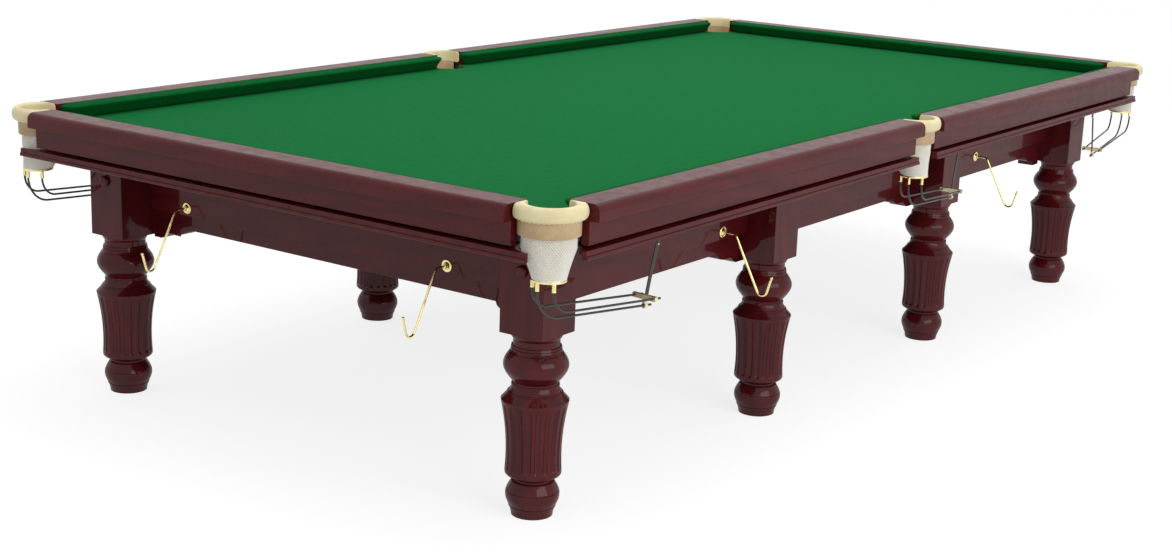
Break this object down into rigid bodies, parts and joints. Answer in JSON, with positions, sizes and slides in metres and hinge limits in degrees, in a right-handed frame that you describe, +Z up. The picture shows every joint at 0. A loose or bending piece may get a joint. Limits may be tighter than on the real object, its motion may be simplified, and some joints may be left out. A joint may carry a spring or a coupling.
{
  "type": "snooker table",
  "caption": "Snooker table with slate bed under green cloth, cushioned rails, net pockets with ball rails, rest hooks and fluted turned legs with levelling feet",
  "frame": {"origin": "on the floor under the middle of the table", "axes": "+X along the table to the top end, +Y across it to the far long side, +Z up"},
  "size_m": [3.817, 2.0446, 0.854],
  "materials": {
    "wood": "dark red mahogany, high gloss varnish",
    "frame_wood": "plain sawn timber, unvarnished",
    "bed_cloth": "green worsted wool, stretched",
    "cushion_cloth": "green worsted wool over rubber",
    "rubber": "moulded cushion rubber",
    "slate": "ground natural slate",
    "leather": "cream to tan pocket leather",
    "net": "cream knotted cotton net",
    "brass": "polished pale brass",
    "iron": "black pocket iron",
    "rod": "black coated steel rod",
    "strap": "dark grey leather",
    "steel": "zinc plated steel"
  },
  "bodies": {
    "table": {"leg_near_1": "wood", "leg_near_2": "wood", "leg_near_3": "wood", "leg_near_4": "wood", "leg_far_1": "wood", "leg_far_2": "wood", "leg_far_3": "wood", "leg_far_4": "wood", "hook_plates": "brass", "slates_end": "slate", "slates_inner": "slate", "slate_middle": "slate", "bed_cloth": "bed_cloth", "rail_baulk": "wood", "rail_top": "wood", "rail_near_left": "wood", "rail_near_right": "wood", "rail_far_left": "wood", "rail_far_right": "wood", "cushions_long": "cushion_cloth", "cushions_end": "cushion_cloth", "cushion_rubbers": "rubber", "pocket_pads": "leather", "pocket_bands": "leather", "net_near_left": "net", "net_near_middle": "net", "net_near_right": "net", "net_far_left": "net", "net_far_middle": "net", "net_far_right": "net", "pocket_irons": "iron", "net_rings": "brass", "ball_rails": "rod", "ball_rail_brackets": "brass", "ball_rail_straps": "strap", "beam_near": "wood", "beam_far": "wood", "beam_baulk": "wood", "beam_top": "wood", "aprons_long": "wood", "aprons_end": "wood", "muntins": "frame_wood", "mouldings": "wood", "leg_bolts": "steel", "bolt_covers": "wood", "rail_bolts": "steel"},
    "foot_near_1_body": {"foot_near_1": "steel"},
    "foot_near_2_body": {"foot_near_2": "steel"},
    "foot_near_3_body": {"foot_near_3": "steel"},
    "foot_near_4_body": {"foot_near_4": "steel"},
    "foot_far_1_body": {"foot_far_1": "steel"},
    "foot_far_2_body": {"foot_far_2": "steel"},
    "foot_far_3_body": {"foot_far_3": "steel"},
    "foot_far_4_body": {"foot_far_4": "steel"},
    "hook_baulk_left_body": {"hook_baulk_left": "brass"},
    "hook_baulk_right_body": {"hook_baulk_right": "brass"},
    "hook_near_left_body": {"hook_near_left": "brass"},
    "hook_near_right_body": {"hook_near_right": "brass"},
    "hook_far_left_body": {"hook_far_left": "brass"},
    "hook_far_right_body": {"hook_far_right": "brass"}
  },
  "joints": [
    {"name": "screw_near_1", "type": "slide", "parent": "table", "child": "foot_near_1_body", "axis": [0, 0, -1], "range_m": [0, 0.02]},
    {"name": "screw_near_2", "type": "slide", "parent": "table", "child": "foot_near_2_body", "axis": [0, 0, -1], "range_m": [0, 0.02]},
    {"name": "screw_near_3", "type": "slide", "parent": "table", "child": "foot_near_3_body", "axis": [0, 0, -1], "range_m": [0, 0.02]},
    {"name": "screw_near_4", "type": "slide", "parent": "table", "child": "foot_near_4_body", "axis": [0, 0, -1], "range_m": [0, 0.02]},
    {"name": "screw_far_1", "type": "slide", "parent": "table", "child": "foot_far_1_body", "axis": [0, 0, -1], "range_m": [0, 0.02]},
    {"name": "screw_far_2", "type": "slide", "parent": "table", "child": "foot_far_2_body", "axis": [0, 0, -1], "range_m": [0, 0.02]},
    {"name": "screw_far_3", "type": "slide", "parent": "table", "child": "foot_far_3_body", "axis": [0, 0, -1], "range_m": [0, 0.02]},
    {"name": "screw_far_4", "type": "slide", "parent": "table", "child": "foot_far_4_body", "axis": [0, 0, -1], "range_m": [0, 0.02]},
    {"name": "swing_baulk_left", "type": "hinge", "parent": "table", "child": "hook_baulk_left_body", "pos_m": [-1.605, 0.543, 0.58], "axis": [-1, 0, 0], "range_deg": [-90, 90]},
    {"name": "swing_baulk_right", "type": "hinge", "parent": "table", "child": "hook_baulk_right_body", "pos_m": [-1.605, -0.434, 0.58], "axis": [-1, 0, 0], "range_deg": [-90, 90]},
    {"name": "swing_near_left", "type": "hinge", "parent": "table", "child": "hook_near_left_body", "pos_m": [-0.753, -0.737, 0.58], "axis": [0, -1, 0], "range_deg": [-90, 90]},
    {"name": "swing_near_right", "type": "hinge", "parent": "table", "child": "hook_near_right_body", "pos_m": [0.939, -0.737, 0.58], "axis": [0, -1, 0], "range_deg": [-90, 90]},
    {"name": "swing_far_left", "type": "hinge", "parent": "table", "child": "hook_far_left_body", "pos_m": [-0.753, 0.737, 0.58], "axis": [0, 1, 0], "range_deg": [-90, 90]},
    {"name": "swing_far_right", "type": "hinge", "parent": "table", "child": "hook_far_right_body", "pos_m": [0.939, 0.737, 0.58], "axis": [0, 1, 0], "range_deg": [-90, 90]}
  ]
}
